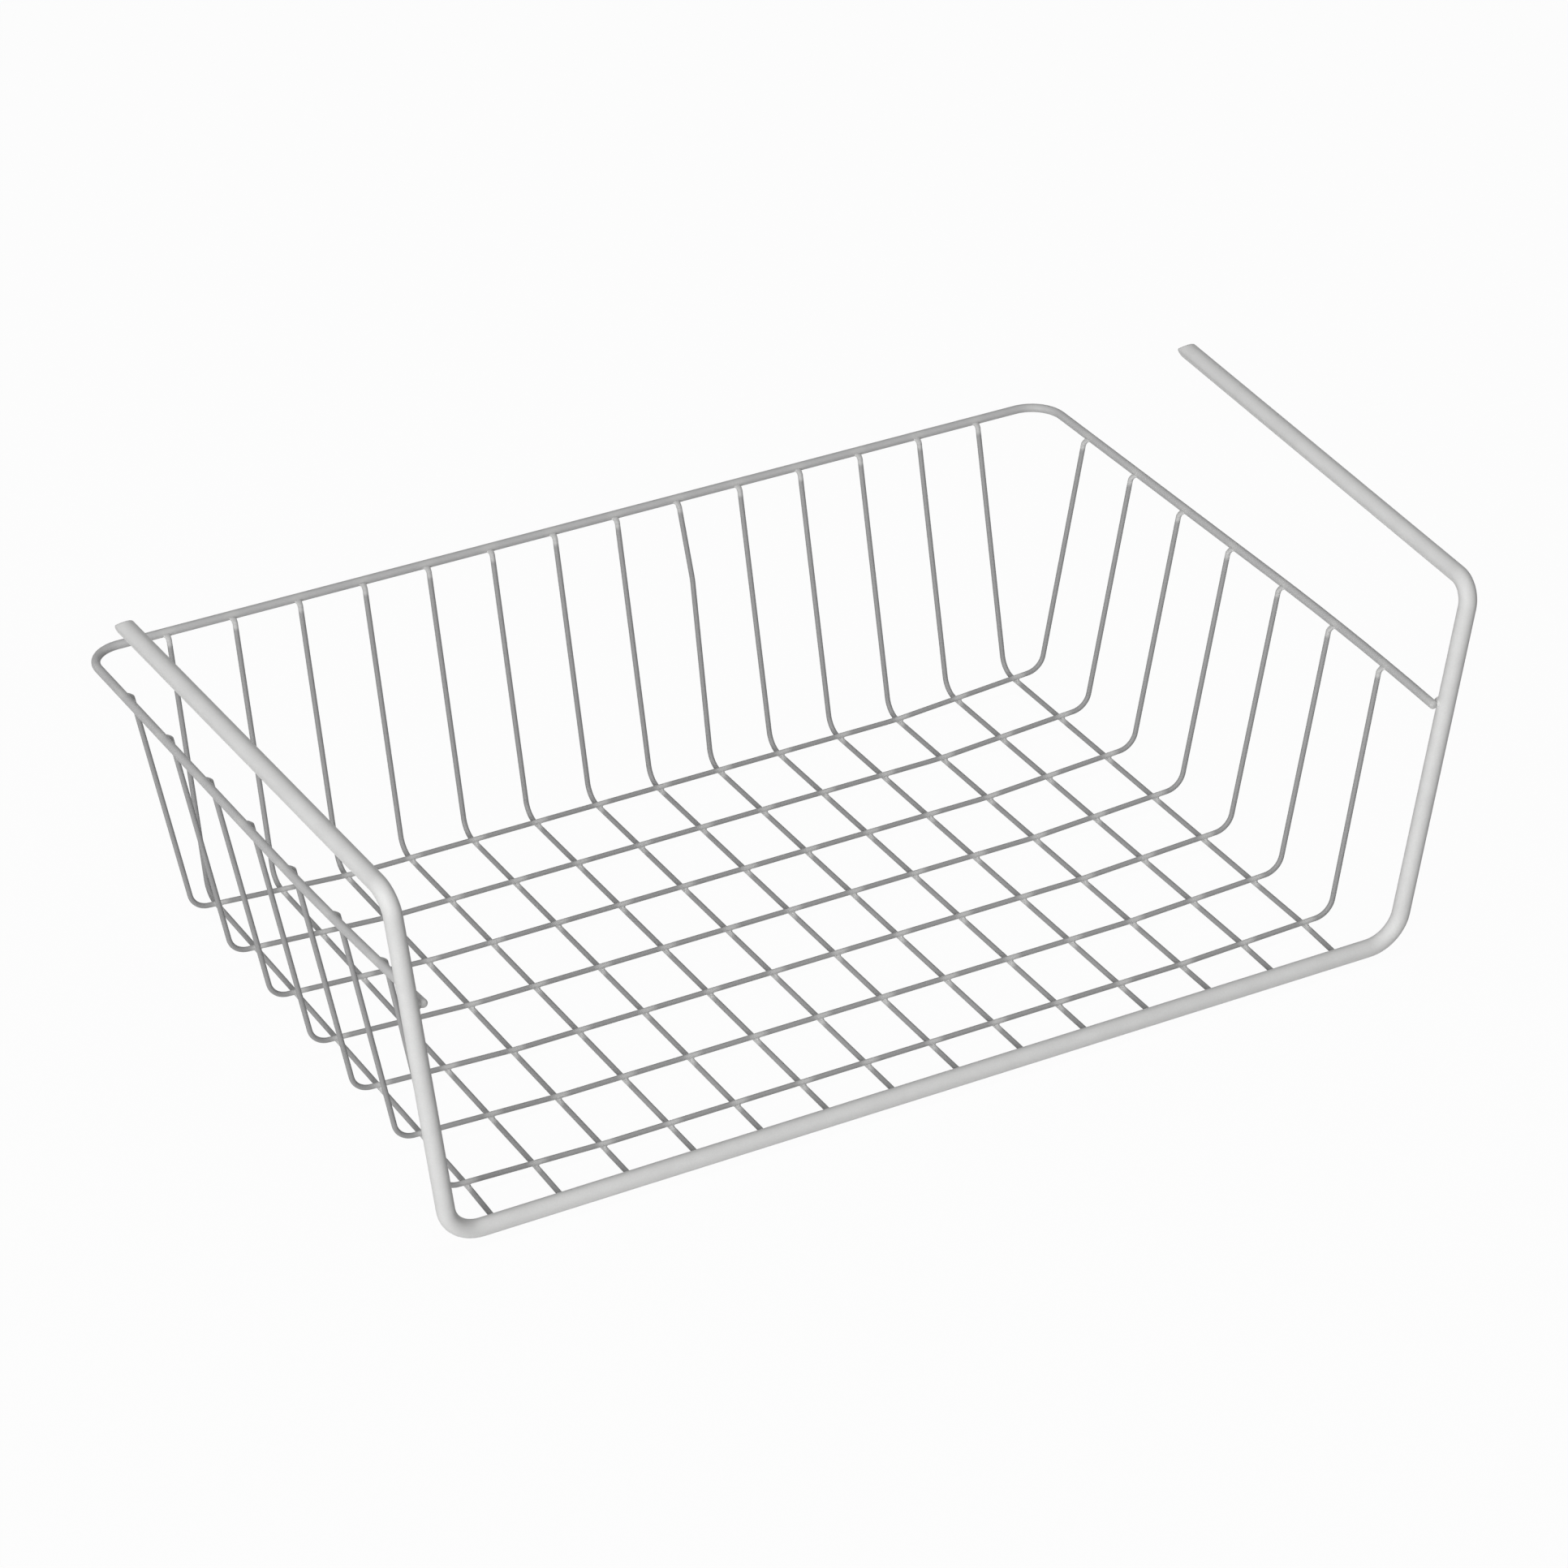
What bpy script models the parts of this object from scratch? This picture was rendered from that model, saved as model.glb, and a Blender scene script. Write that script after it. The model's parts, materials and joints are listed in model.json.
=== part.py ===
"""Under shelf basket bent and welded from coated steel wire of three gauges.

One thick wire makes both shelf arms, both uprights and the front bar. A medium
wire is the rim, and a welded grid of thin wires is the floor, back and sides.
The model is drawn with the front bar's axis on Y = 0 and the cross wires' axes
on Z = 0. An empty then puts the origin under the middle of the basket.
"""
import math

import bpy
from mathutils import Quaternion, Vector

MM = 0.001

# Wire gauges, over the coating
FRAME_WIRE = 6.0 * MM
RIM_WIRE = 3.0 * MM
GRID_WIRE = 1.8 * MM
WELD_GAP = 0.3 * MM

# Floor grid
CROSS_COUNT = 14
CROSS_PITCH = 24.0 * MM
LONG_COUNT = 7
LONG_PITCH = 31.4 * MM
FIRST_LONG_INSET = 25.0 * MM
BACK_INSET = 8.6 * MM
SIDE_INSET = 8.4 * MM
CROSS_FRONT_INSET = 0.2 * MM

# The floor lifts a little towards its sides, most of all at the back
FLAT_FLOOR_HALF = 106.0 * MM
SIDE_RISE_AT_FRONT = 1.6 * MM
SIDE_RISE_AT_BACK = 3.6 * MM

# Walls and rim
BACK_LEAN_DEG = 12.5
SIDE_LEAN_DEG = 10.8
RIM_HEIGHT = 94.0 * MM
RIM_CORNER_RADIUS = 12.0 * MM
WIRE_TOP_OVER_RIM = 0.1 * MM
RIM_BOW_MIDDLE = 47.4 * MM
RIM_BOW_RADIUS = 1600.0 * MM
RIM_END_OVERHANG = 0.4 * MM

# Frame wire, from the floor's corner to the bar's end, the upright's head and the arm's tip
FOOT_OUTSET = 10.1 * MM
HEAD_OUTSET = 18.0 * MM
HEAD_FORWARD = 7.3 * MM
HEAD_RISE = 132.3 * MM
TIP_OUTSET = 5.9 * MM
TIP_BACK = 175.3 * MM
TIP_RISE = 6.0 * MM
FOOT_BEND_RADIUS = 12.5 * MM
HEAD_BEND_RADIUS = 8.0 * MM

# Grid wire bends
GRID_BEND_RADIUS = 7.0 * MM
SOFT_BEND_RADIUS = 140.0 * MM

# The ninth cross wire has a knock in its upright leg
KNOCKED_INDEX = 9
KNOCK_HEIGHT = 66.0 * MM
KNOCK_OFFSET = 1.7 * MM
KNOCK_BEND_RADIUS = 30.0 * MM

# Cut ends are rounded by the coating
FRAME_END_ROUND = 1.0 * MM
RIM_END_ROUND = 0.6 * MM
GRID_END_ROUND = 0.35 * MM
END_ROUND_STEPS = 2

# Facets
ARC_STEP_DEG = 11.0
ARC_TOLERANCE = 0.05 * MM
FRAME_SIDES = 16
RIM_SIDES = 12
GRID_SIDES = 8

# Finish: pale grey satin coat, darker to the eye on the finer wires
FRAME_COLOUR = (0.68, 0.68, 0.68, 1.0)
RIM_COLOUR = (0.45, 0.45, 0.45, 1.0)
GRID_COLOUR = (0.28, 0.28, 0.28, 1.0)
COAT_ROUGHNESS = 0.42
COAT_METALLIC = 0.0

# Places that follow from the sizes above
FLOOR_HALF_SPAN = (CROSS_COUNT - 1) / 2 * CROSS_PITCH
LONG_LIFT = GRID_WIRE + WELD_GAP
BAR_LIFT = (FRAME_WIRE + GRID_WIRE) / 2 + WELD_GAP
LAST_LONG = FIRST_LONG_INSET + (LONG_COUNT - 1) * LONG_PITCH
BACK_FOOT = LAST_LONG + BACK_INSET
SIDE_FOOT = FLOOR_HALF_SPAN + SIDE_INSET
BACK_SLOPE = math.tan(math.radians(BACK_LEAN_DEG))
SIDE_SLOPE = math.tan(math.radians(SIDE_LEAN_DEG))
RIM_STANDOFF = (GRID_WIRE + RIM_WIRE) / 2 + WELD_GAP
RIM_BACK = BACK_FOOT + BACK_SLOPE * RIM_HEIGHT + RIM_STANDOFF / math.cos(math.radians(BACK_LEAN_DEG))
RIM_HALF_WIDTH = SIDE_FOOT + SIDE_SLOPE * RIM_HEIGHT + RIM_STANDOFF / math.cos(math.radians(SIDE_LEAN_DEG))
WIRE_TOP = RIM_HEIGHT + WIRE_TOP_OVER_RIM
FOOT_HALF_WIDTH = SIDE_FOOT + FOOT_OUTSET
HEAD_HALF_WIDTH = FOOT_HALF_WIDTH + HEAD_OUTSET
HEAD_HEIGHT = BAR_LIFT + HEAD_RISE
TIP_HALF_WIDTH = HEAD_HALF_WIDTH + TIP_OUTSET
TIP_HEIGHT = HEAD_HEIGHT + TIP_RISE


def rounded_path(corners, radii):
    """Points along straight runs through the corners, each inner corner an arc."""
    path = [corners[0]]
    for before, corner, after, radius in zip(corners, corners[1:], corners[2:], radii):
        back = (before - corner).normalized()
        ahead = (after - corner).normalized()
        turn = math.pi - back.angle(ahead)
        reach = radius * math.tan(turn / 2)
        centre = corner + (back + ahead).normalized() * radius / math.cos(turn / 2)
        start = corner + back * reach - centre
        axis = start.cross(corner + ahead * reach - centre)
        finest = 2 * math.acos(1 - ARC_TOLERANCE / radius)
        steps = max(2, math.ceil(turn / min(finest, math.radians(ARC_STEP_DEG))))
        for step in range(steps + 1):
            path.append(centre + Quaternion(axis, turn * step / steps) @ start)
    path.append(corners[-1])
    return path


def rounded_ends(path, radius, end_round):
    """The path with each end's last stretch narrowed along a quarter circle."""
    share = end_round / radius
    widths = [1.0] * len(path)
    for last, inner in ((0, 1), (-1, -2)):
        end = path[last]
        inward = (path[inner] - end).normalized()
        stations = []
        for step in range(END_ROUND_STEPS + 1):
            angle = math.pi / 2 * step / END_ROUND_STEPS
            place = end + inward * end_round * (1 - math.sin(angle))
            stations.append((place, 1 - share * (1 - math.cos(angle))))
        if last == 0:
            stations.reverse()
            path = [place for place, width in stations] + path[1:]
            widths = [width for place, width in stations] + widths[1:]
        else:
            path = path[:-1] + [place for place, width in stations]
            widths = widths[:-1] + [width for place, width in stations]
    return path, widths


def carried_up(path, up):
    """Carries a direction along the path without twist, and returns it at the end."""
    along = (path[1] - path[0]).normalized()
    for here, there in zip(path[1:], path[2:]):
        onward = (there - here).normalized()
        up = along.rotation_difference(onward) @ up
        along = onward
    return up, along


def level_up(along):
    """The direction square to a run that points as far up as it can."""
    lift = Vector((0.0, 0.0, 1.0))
    return (lift - along * lift.dot(along)).normalized()


def section_tilts(path, sides):
    """Tilts that turn a flat of the section down on the first run, and on a level last run."""
    first = (path[1] - path[0]).normalized()
    up, last = carried_up(path, level_up(first))
    wanted = level_up(last) if abs(last.z) < last.xy.length else up
    slip = up.angle(wanted) * (1 if up.cross(wanted).dot(last) > 0 else -1)
    lengths = [0.0]
    for here, there in zip(path, path[1:]):
        lengths.append(lengths[-1] + (there - here).length)
    return [math.pi / sides + slip * length / lengths[-1] for length in lengths]


def wire_curve(name, corners, radii, wire, sides, end_round):
    """A wire along rounded corners, as a bevelled curve with filled ends."""
    path, widths = rounded_ends(rounded_path(corners, radii), wire / 2, end_round)
    curve = bpy.data.curves.new(name, "CURVE")
    curve.dimensions = "3D"
    curve.twist_mode = "MINIMUM"
    curve.bevel_depth = wire / 2
    curve.bevel_resolution = (sides - 4) // 2
    curve.use_fill_caps = True
    spline = curve.splines.new("POLY")
    spline.points.add(len(path) - 1)
    for point, place, width, tilt in zip(spline.points, path, widths, section_tilts(path, sides)):
        point.co = (*place, 1.0)
        point.radius = width
        point.tilt = tilt
    return curve


def coat(name, colour):
    """A satin coat of one colour for one wire."""
    material = bpy.data.materials.new(name)
    material.use_nodes = True
    shader = material.node_tree.nodes["Principled BSDF"]
    shader.inputs["Base Color"].default_value = colour
    shader.inputs["Roughness"].default_value = COAT_ROUGHNESS
    shader.inputs["Metallic"].default_value = COAT_METALLIC
    return material


def place_wire(name, curve, location, colour, holder):
    """Puts one named wire in the basket, in its own coat."""
    wire = bpy.data.objects.new(name, curve)
    wire.location = location
    wire.parent = holder
    bpy.data.collections["under_shelf_basket"].objects.link(wire)
    if not curve.materials:
        curve.materials.append(None)
    wire.material_slots[0].link = "OBJECT"
    wire.material_slots[0].material = coat(name + "_coat", colour)
    return wire


def side_slope(back):
    """How steeply the floor climbs outside its flat middle, at a place behind the bar."""
    share = (back - FIRST_LONG_INSET) / (BACK_FOOT - FIRST_LONG_INSET)
    rise = SIDE_RISE_AT_FRONT + share * (SIDE_RISE_AT_BACK - SIDE_RISE_AT_FRONT)
    return rise / (FLOOR_HALF_SPAN - FLAT_FLOOR_HALF)


def side_rise(across, back):
    """How far the floor has lifted at a place across and back from the front bar."""
    return side_slope(back) * max(0.0, abs(across) - FLAT_FLOOR_HALF)


def upright_at(height):
    """The right upright's axis at a height, as places across and back."""
    share = (height - BAR_LIFT) / HEAD_RISE
    return FOOT_HALF_WIDTH + share * HEAD_OUTSET, -share * HEAD_FORWARD


def make_frame_wire(holder):
    """Arm, upright, front bar, upright and arm, in one bent length."""
    half = [Vector((TIP_HALF_WIDTH, TIP_BACK, TIP_HEIGHT)),
            Vector((HEAD_HALF_WIDTH, -HEAD_FORWARD, HEAD_HEIGHT)),
            Vector((FOOT_HALF_WIDTH, 0.0, BAR_LIFT))]
    corners = [Vector((-corner.x, corner.y, corner.z)) for corner in half] + half[::-1]
    radii = [HEAD_BEND_RADIUS, FOOT_BEND_RADIUS, FOOT_BEND_RADIUS, HEAD_BEND_RADIUS]
    curve = wire_curve("frame_wire", corners, radii, FRAME_WIRE, FRAME_SIDES, FRAME_END_ROUND)
    return place_wire("frame_wire", curve, (0.0, 0.0, 0.0), FRAME_COLOUR, holder)


def rim_end():
    """Where the rim's right end is welded inside the upright, as places across and back."""
    across, back = upright_at(RIM_HEIGHT)
    upright_lean = math.atan2(HEAD_OUTSET, HEAD_RISE)
    return across - ((FRAME_WIRE + RIM_WIRE) / 2 + WELD_GAP) / math.cos(upright_lean), back


def rim_inset(back):
    """How far the rim has bowed inwards at a place behind the bar."""
    end_across, end_back = rim_end()
    turn = math.atan2(RIM_HALF_WIDTH - end_across, RIM_BOW_MIDDLE - end_back)
    bow_back = RIM_BOW_MIDDLE + RIM_BOW_RADIUS * math.tan(turn / 2)
    ahead = max(0.0, bow_back - back)
    return RIM_BOW_RADIUS - math.sqrt(RIM_BOW_RADIUS ** 2 - ahead ** 2)


def make_rim_wire(holder):
    """A U round the back and sides, its ends bowed inside the uprights."""
    end_across, end_back = rim_end()
    bow = Vector((RIM_HALF_WIDTH, RIM_BOW_MIDDLE, 0.0))
    weld = Vector((end_across, end_back, 0.0))
    half = [weld + (weld - bow).normalized() * RIM_END_OVERHANG,
            bow,
            Vector((RIM_HALF_WIDTH, RIM_BACK, 0.0))]
    corners = [Vector((-corner.x, corner.y, corner.z)) for corner in half] + half[::-1]
    half_radii = [RIM_BOW_RADIUS, RIM_CORNER_RADIUS]
    curve = wire_curve("rim_wire", corners, half_radii + half_radii[::-1], RIM_WIRE, RIM_SIDES, RIM_END_ROUND)
    return place_wire("rim_wire", curve, (0.0, 0.0, RIM_HEIGHT), RIM_COLOUR, holder)


def cross_wire_corners(number, across):
    """Corners of a cross wire from under the front bar, along the floor and up the back."""
    rise = side_rise(across, BACK_FOOT)
    corners = [Vector((0.0, CROSS_FRONT_INSET, 0.0)),
               Vector((0.0, BACK_FOOT + BACK_SLOPE * rise, rise))]
    radii = [GRID_BEND_RADIUS]
    if rise > 0:
        corners.insert(1, Vector((0.0, FIRST_LONG_INSET, side_rise(across, FIRST_LONG_INSET))))
        radii.insert(0, SOFT_BEND_RADIUS)
    if number == KNOCKED_INDEX:
        corners.append(Vector((KNOCK_OFFSET, BACK_FOOT + BACK_SLOPE * KNOCK_HEIGHT, KNOCK_HEIGHT)))
        radii.append(KNOCK_BEND_RADIUS)
    corners.append(Vector((0.0, BACK_FOOT + BACK_SLOPE * WIRE_TOP, WIRE_TOP)))
    return corners, radii


def make_cross_wires(holder):
    """Cross wires side by side, those alike sharing one curve."""
    shared = {}
    for number in range(1, CROSS_COUNT + 1):
        across = (number - 1) * CROSS_PITCH - FLOOR_HALF_SPAN
        corners, radii = cross_wire_corners(number, across)
        alike = (number == KNOCKED_INDEX, round(abs(side_rise(across, BACK_FOOT)) / MM, 3))
        if alike not in shared:
            shared[alike] = wire_curve("cross_wire", corners, radii, GRID_WIRE, GRID_SIDES, GRID_END_ROUND)
        place_wire(f"cross_wire_{number:02d}", shared[alike], (across, 0.0, 0.0), GRID_COLOUR, holder)


def long_wire_corners(back):
    """Corners of a long wire, up one side, over the floor and up the other side."""
    climb = side_slope(back)
    lean = SIDE_SLOPE - rim_inset(back) / RIM_HEIGHT
    foot = SIDE_FOOT + lean * (LONG_LIFT - climb * FLAT_FLOOR_HALF)
    foot = foot / (1 - lean * climb)
    half = [Vector((SIDE_FOOT + lean * WIRE_TOP, 0.0, WIRE_TOP)),
            Vector((foot, 0.0, LONG_LIFT + climb * (foot - FLAT_FLOOR_HALF))),
            Vector((FLAT_FLOOR_HALF, 0.0, LONG_LIFT))]
    return [Vector((-corner.x, corner.y, corner.z)) for corner in half] + half[::-1]


def make_long_wires(holder):
    """Long wires from the front bar's side to the back wall."""
    radii = [GRID_BEND_RADIUS, SOFT_BEND_RADIUS, SOFT_BEND_RADIUS, GRID_BEND_RADIUS]
    for number in range(1, LONG_COUNT + 1):
        back = FIRST_LONG_INSET + (LONG_COUNT - number) * LONG_PITCH
        name = f"long_wire_{number}"
        curve = wire_curve(name, long_wire_corners(back), radii, GRID_WIRE, GRID_SIDES, GRID_END_ROUND)
        place_wire(name, curve, (0.0, back, 0.0), GRID_COLOUR, holder)


def stand_at_origin(holder):
    """Moves the basket so that the origin lies under the middle of its box."""
    bpy.context.view_layer.update()
    graph = bpy.context.evaluated_depsgraph_get()
    corners = []
    for wire in holder.children:
        solid = wire.evaluated_get(graph)
        shape = solid.to_mesh()
        corners += [solid.matrix_world @ vertex.co for vertex in shape.vertices]
        solid.to_mesh_clear()
    lows = [min(corner[axis] for corner in corners) for axis in range(3)]
    highs = [max(corner[axis] for corner in corners) for axis in range(3)]
    holder.location = (-(lows[0] + highs[0]) / 2, -(lows[1] + highs[1]) / 2, -lows[2])


def main():
    for old in list(bpy.data.objects):
        bpy.data.objects.remove(old, do_unlink=True)
    basket = bpy.data.collections.new("under_shelf_basket")
    bpy.context.scene.collection.children.link(basket)
    holder = bpy.data.objects.new("basket_origin", None)
    basket.objects.link(holder)
    make_frame_wire(holder)
    make_rim_wire(holder)
    make_cross_wires(holder)
    make_long_wires(holder)
    stand_at_origin(holder)


main()
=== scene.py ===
"""The looks of the under shelf basket: bent steel wires of three gauges under a
pale powder coat, welded at every crossing, on a plain pale floor."""
import json
import math

import bpy
from mathutils import Matrix, Quaternion, Vector

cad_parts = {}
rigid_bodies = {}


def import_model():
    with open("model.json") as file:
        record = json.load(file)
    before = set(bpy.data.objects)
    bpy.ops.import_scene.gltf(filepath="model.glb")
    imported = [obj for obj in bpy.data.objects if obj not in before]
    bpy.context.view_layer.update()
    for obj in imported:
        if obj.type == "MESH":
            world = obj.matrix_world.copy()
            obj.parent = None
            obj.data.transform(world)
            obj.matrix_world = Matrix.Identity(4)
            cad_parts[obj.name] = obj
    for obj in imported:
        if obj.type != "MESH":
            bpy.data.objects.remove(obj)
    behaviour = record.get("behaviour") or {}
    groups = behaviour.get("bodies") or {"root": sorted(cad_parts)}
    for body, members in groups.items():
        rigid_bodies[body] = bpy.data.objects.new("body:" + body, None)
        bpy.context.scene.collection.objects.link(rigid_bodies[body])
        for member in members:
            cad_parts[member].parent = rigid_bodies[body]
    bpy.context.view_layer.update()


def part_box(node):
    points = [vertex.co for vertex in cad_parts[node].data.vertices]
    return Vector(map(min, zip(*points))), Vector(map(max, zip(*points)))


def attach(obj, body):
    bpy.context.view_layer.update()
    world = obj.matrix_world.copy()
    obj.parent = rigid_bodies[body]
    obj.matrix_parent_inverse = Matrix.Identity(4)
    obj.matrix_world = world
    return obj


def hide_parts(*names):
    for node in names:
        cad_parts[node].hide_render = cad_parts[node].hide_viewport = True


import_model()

MM = 0.001

# Wire gauges over the coat, and the sides of each round wire
FRAME_WIRE = 6.0 * MM
RIM_WIRE = 3.0 * MM
GRID_WIRE = 1.8 * MM
WELD_GAP = 0.3 * MM
FRAME_SIDES = 32
RIM_SIDES = 24
GRID_SIDES = 16
BEND_STEP = math.radians(6.0)
BEND_TOLERANCE = 0.02 * MM
FEWEST_BEND_STEPS = 2

# Floor grid
CROSS_COUNT = 14
CROSS_PITCH = 24.0 * MM
LONG_COUNT = 7
LONG_PITCH = 31.4 * MM
FIRST_LONG_INSET = 25.0 * MM
BACK_INSET = 8.6 * MM
SIDE_INSET = 8.4 * MM
CROSS_FRONT_INSET = 0.2 * MM
FLAT_FLOOR_HALF = 106.0 * MM
SIDE_RISE_AT_FRONT = 1.6 * MM
SIDE_RISE_AT_BACK = 3.6 * MM

# Walls and rim
BACK_LEAN = math.radians(12.5)
SIDE_LEAN = math.radians(10.8)
RIM_HEIGHT = 94.0 * MM
RIM_CORNER_RADIUS = 12.0 * MM
WIRE_TOP = 94.1 * MM
RIM_BOW_MIDDLE = 47.4 * MM
RIM_BOW_RADIUS = 1600.0 * MM
RIM_END_OVERHANG = 0.4 * MM

# Frame wire, from the floor's corner to the bar's end, the upright's head and the arm's tip
FOOT_OUTSET = 10.1 * MM
HEAD_OUTSET = 18.0 * MM
HEAD_FORWARD = 7.3 * MM
HEAD_RISE = 132.3 * MM
TIP_OUTSET = 5.9 * MM
TIP_BACK = 175.3 * MM
TIP_RISE = 6.0 * MM
FOOT_BEND_RADIUS = 12.5 * MM
HEAD_BEND_RADIUS = 8.0 * MM

# Grid wire bends, and the knock in the ninth cross wire's upright leg
GRID_BEND_RADIUS = 7.0 * MM
SOFT_BEND_RADIUS = 140.0 * MM
KNOCKED_INDEX = 9
KNOCK_HEIGHT = 66.0 * MM
KNOCK_OFFSET = 1.7 * MM
KNOCK_BEND_RADIUS = 30.0 * MM

# Cut ends, rounded by the coat, with the slants of their cuts
FRAME_END_ROUND = 0.7 * MM
RIM_END_ROUND = 1.1 * MM
GRID_END_ROUND = 0.65 * MM
END_ROUND_STEPS = 4
MERGE_DISTANCE = 0.001 * MM
PINCH_UPPER = math.radians(53.0)
PINCH_LOWER = math.radians(37.0)
CROSS_CUT = math.radians(50.0)
LEG_CUT = math.radians(38.0)
LEG_CUT_REACH = 70.5 * MM

# Beads of coat at the floor's welds, as shares of the wire's radius
BEAD_SPREAD = 1.4
BEAD_WAIST = 0.67
BEAD_SHALLOW_SHARE = 0.25
BEAD_DEEP_SHARE = 0.7
BEAD_TUCK_SHARE = 0.8
BEAD_SIDES = 16
BAR_BEAD_BACK = 1.5 * MM
NUB_SIDES = 32

# Coat round a wire's welded end, as shares of the wire's radius: how far each ring is
# from the end, and how far it reaches aside, away from the other wire and towards it.
# The rim's ends are cut square, the legs' tops slope down from the rim.
SQUARE_NUB_RINGS = [(-2.15, 0.97, 0.97, 0.97),
                    (-2.0, 1.01, 1.01, 1.02),
                    (-1.4, 1.04, 1.01, 1.25),
                    (-0.8, 1.06, 1.01, 1.7),
                    (-0.25, 0.93, 0.88, 1.6),
                    (0.05, 0.58, 0.5, 1.25),
                    (0.13, 0.2, 0.1, 0.8)]
SLOPED_NUB_RINGS = [(-2.45, 0.97, 0.97, 0.97),
                    (-2.3, 1.01, 1.0, 1.01),
                    (-1.7, 1.04, 0.94, 1.15),
                    (-1.2, 1.08, 0.68, 1.5),
                    (-0.75, 1.12, 0.25, 1.65),
                    (-0.35, 1.1, -0.2, 1.65),
                    (0.0, 0.95, -0.65, 1.6),
                    (0.2, 0.5, -1.05, 1.5)]

# Fillet of coat from such an end onto the other wire, as shares of the wire's radius: how
# far each ring lies past the other wire's surface, its half width along the other wire, and
# how far its middle lies along this one and its half width that way
WEB_RINGS = [(-1.94, 0.4, -1.45, 0.3),
             (-1.3, 0.8, -1.15, 0.55),
             (-0.9, 1.0, -0.9, 0.7),
             (-0.55, 1.13, -0.65, 0.75),
             (-0.25, 1.3, -0.45, 0.75),
             (-0.05, 1.45, -0.35, 0.7),
             (0.06, 1.55, -0.3, 0.6),
             (0.35, 1.35, -0.2, 0.4)]

# Powder coat: one pale grey on every wire, with a tone set for each gauge. The rim's and grid's
# tones are darker as painted shade on the thinner wires, the lighter tones are painted light round
# the welds, and the distances say how far that painted light reaches.
FRAME_TONE = "E2E2E1"
RIM_PAINTED_SHADE_TONE = "C2C2C2"
RIM_PAINTED_LIGHT_TONE = "C9C9C8"
GRID_PAINTED_SHADE_TONE = "A0A0A0"
GRID_PAINTED_LIGHT_TONE = "CBCBCA"
PAINTED_LIGHT_CORE = 0.9 * MM
PAINTED_LIGHT_REACH = 4.4 * MM
RIM_PAINTED_LIGHT_REACH = 1.8 * MM
FLOOR_PAINTED_LIGHT_TOP = 8.0 * MM

# Its satin gloss, soft clouds where it was sprayed on unevenly, orange peel, and the grain
# of the powder. Real grains are 0.05 mm and are drawn ten times as coarse, so that they
# show. Noise is spread to its full depth between the levels that it mostly keeps to.
COAT_IOR = 1.5
COAT_ROUGHNESS = 0.62
ROUGHNESS_DEPTH = 0.05
CLOUD_SIZE = 9.0 * MM
CLOUD_DEPTH = 0.03
CLOUD_DETAIL = 2.0
GRAIN_SIZE = 0.5 * MM
GRAIN_DEPTH = 0.02
GRAIN_DETAIL = 1.0
PEEL_SIZE = 1.3 * MM
PEEL_DEPTH = 0.005 * MM
PEEL_DETAIL = 1.0
NOISE_LOW = 0.3
NOISE_HIGH = 0.7

# Floor, white background and lamps, each lamp with its direction, distance and watts
FLOOR_SPAN = 12000.0 * MM
FLOOR_DROP = 0.1 * MM
FLOOR_TONE = "DADADA"
WHITE = (1.0, 1.0, 1.0, 1.0)
FLOOR_WHITE_SHARE = 0.965
ROOM_LIGHT = 0.015
LAMP_AIM = Vector((0.0, 0.0, 60.0)) * MM
LAMP_SIZE = 1500.0 * MM
LAMPS = [("key_softbox", math.radians(-50.0), math.radians(17.0), 3500.0 * MM, 91.0),
         ("top_softbox", math.radians(40.0), math.radians(85.0), 3000.0 * MM, 28.0)]

# Camera, as the picture was taken
PICTURE_SIDE = 1932
VIEW_AZIMUTH = math.radians(-28.566)
VIEW_HEIGHT = math.radians(30.339)
VIEW_ROLL = math.radians(0.623)
VIEW_DISTANCE = 2072.19 * MM
VIEW_TARGET = Vector((51.325, 196.807, 0.0)) * MM
FOCAL_PIXELS = 7315.639
SENSOR_WIDTH = 36.0

# Places that follow from the sizes above, in the basket's own frame: the front
# bar's axis on Y = 0 and the flat floor's cross wires on Z = 0
FLOOR_HALF_SPAN = (CROSS_COUNT - 1) / 2 * CROSS_PITCH
LONG_LIFT = GRID_WIRE + WELD_GAP
BAR_LIFT = (FRAME_WIRE + GRID_WIRE) / 2 + WELD_GAP
LAST_LONG = FIRST_LONG_INSET + (LONG_COUNT - 1) * LONG_PITCH
BACK_FOOT = LAST_LONG + BACK_INSET
SIDE_FOOT = FLOOR_HALF_SPAN + SIDE_INSET
BACK_SLOPE = math.tan(BACK_LEAN)
SIDE_SLOPE = math.tan(SIDE_LEAN)
RIM_STANDOFF = (GRID_WIRE + RIM_WIRE) / 2 + WELD_GAP
RIM_BACK = BACK_FOOT + BACK_SLOPE * RIM_HEIGHT + RIM_STANDOFF / math.cos(BACK_LEAN)
RIM_HALF_WIDTH = SIDE_FOOT + SIDE_SLOPE * RIM_HEIGHT + RIM_STANDOFF / math.cos(SIDE_LEAN)
FOOT_HALF_WIDTH = SIDE_FOOT + FOOT_OUTSET
HEAD_HALF_WIDTH = FOOT_HALF_WIDTH + HEAD_OUTSET
HEAD_HEIGHT = BAR_LIFT + HEAD_RISE
TIP_HALF_WIDTH = HEAD_HALF_WIDTH + TIP_OUTSET
TIP_HEIGHT = HEAD_HEIGHT + TIP_RISE

# Where the basket's own frame stands in the row frame, read off a cross wire
# of the flat floor, whose solid lies on one of its flat sides
SOLID_GRID_SIDES = 8
LOW_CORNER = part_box("cross_wire_07")[0]
STAND = Vector((0.0, LOW_CORNER.y - CROSS_FRONT_INSET,
                LOW_CORNER.z + GRID_WIRE / 2 * math.cos(math.pi / SOLID_GRID_SIDES)))


# Modelling

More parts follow.
